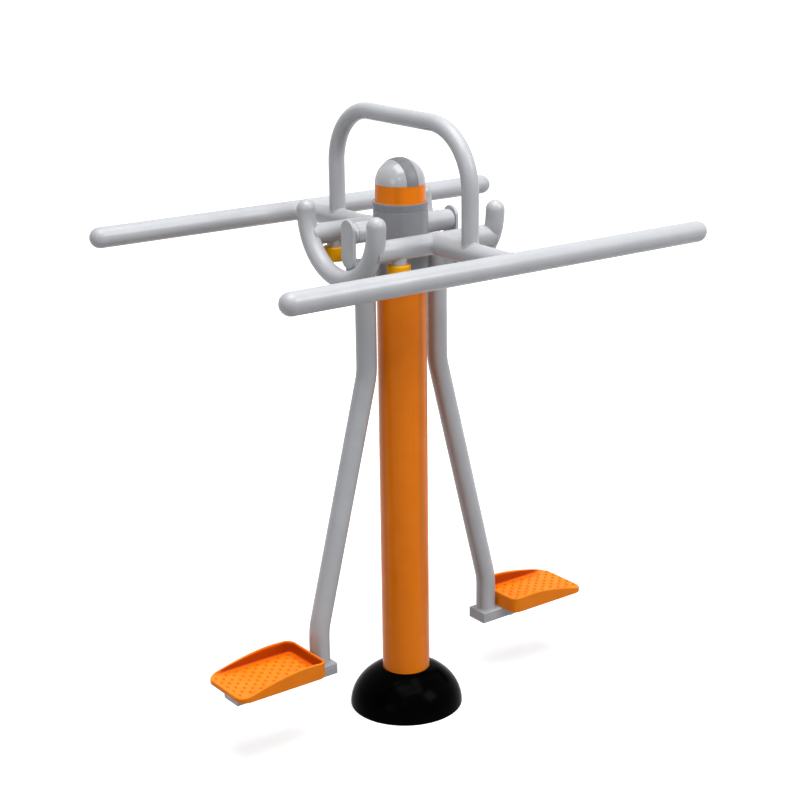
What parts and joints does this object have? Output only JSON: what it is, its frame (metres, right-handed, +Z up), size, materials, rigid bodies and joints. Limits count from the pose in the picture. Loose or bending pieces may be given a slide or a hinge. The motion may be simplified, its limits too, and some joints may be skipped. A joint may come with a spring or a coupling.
{
  "type": "outdoor air walker",
  "caption": "Outdoor air walker: a column carries a tubular handrail frame and two hanging legs with foot pedals that swing on bearings between rubber stops.",
  "frame": {"origin": "on the ground at the centre of the column", "axes": "+Z up; +X along the long hand bars and the swing axle; +Y across the hand bars"},
  "size_m": [1.144, 0.8328, 1.4499],
  "materials": {
    "orange_powder_coat": "semi-gloss powder coat",
    "silver_powder_coat": "satin silver powder coat",
    "grey_powder_coat": "satin grey powder coat",
    "grey_gloss_plastic": "glossy moulded plastic",
    "dark_grey_plastic": "glossy moulded plastic",
    "black_gloss_plastic": "glossy moulded plastic",
    "orange_plastic": "satin moulded plastic",
    "yellow_rubber": "moulded rubber",
    "galvanised_steel": "hot-dip galvanised",
    "zinc_plated_steel": "zinc plated",
    "turned_steel": "turned, oiled",
    "bearing_steel": "ground and hardened"
  },
  "bodies": {
    "stand": {"column": "orange_powder_coat", "base_flange": "galvanised_steel", "base_gussets": "galvanised_steel", "base_cap": "black_gloss_plastic", "hub_sleeve": "grey_powder_coat", "hub_collar": "grey_powder_coat", "hub_screws": "zinc_plated_steel", "top_cap": "grey_gloss_plastic", "top_cap_band": "dark_grey_plastic", "axle_housing": "silver_powder_coat", "housing_rings": "silver_powder_coat", "bearing_outer_rings": "bearing_steel", "bearing_balls": "bearing_steel", "outer_spacers": "turned_steel", "hub_arms": "silver_powder_coat", "side_rail_near": "silver_powder_coat", "side_rail_far": "silver_powder_coat", "cross_arm_near": "silver_powder_coat", "cross_arm_far": "silver_powder_coat", "hand_bar_near": "silver_powder_coat", "hand_bar_far": "silver_powder_coat", "hand_bar_caps": "silver_powder_coat", "loop_handle": "silver_powder_coat", "grip_left": "silver_powder_coat", "grip_right": "silver_powder_coat", "grip_caps": "silver_powder_coat", "bumper_holders": "silver_powder_coat", "bumpers": "yellow_rubber", "bumper_screws": "zinc_plated_steel"},
    "left_leg": {"swing_shaft_left": "turned_steel", "shaft_washer_left": "zinc_plated_steel", "shaft_nut_left": "zinc_plated_steel", "inner_rings_left": "bearing_steel", "inner_spacer_left": "turned_steel", "hanger_plate_left": "silver_powder_coat", "leg_bracket_left": "silver_powder_coat", "leg_tube_left": "silver_powder_coat", "leg_top_plug_left": "silver_powder_coat", "pedal_bar_left": "silver_powder_coat", "pedal_bar_plugs_left": "silver_powder_coat", "pedal_left": "orange_plastic", "pedal_bolts_left": "zinc_plated_steel"},
    "right_leg": {"swing_shaft_right": "turned_steel", "shaft_washer_right": "zinc_plated_steel", "shaft_nut_right": "zinc_plated_steel", "inner_rings_right": "bearing_steel", "inner_spacer_right": "turned_steel", "hanger_plate_right": "silver_powder_coat", "leg_bracket_right": "silver_powder_coat", "leg_tube_right": "silver_powder_coat", "leg_top_plug_right": "silver_powder_coat", "pedal_bar_right": "silver_powder_coat", "pedal_bar_plugs_right": "silver_powder_coat", "pedal_right": "orange_plastic", "pedal_bolts_right": "zinc_plated_steel"}
  },
  "joints": [
    {"name": "left_leg_swing", "type": "hinge", "parent": "stand", "child": "left_leg", "pos_m": [0, 0, 1.1845], "axis": [1, 0, 0], "range_deg": [-37, 37]},
    {"name": "right_leg_swing", "type": "hinge", "parent": "stand", "child": "right_leg", "pos_m": [0, 0, 1.1845], "axis": [1, 0, 0], "range_deg": [-37, 37]}
  ]
}
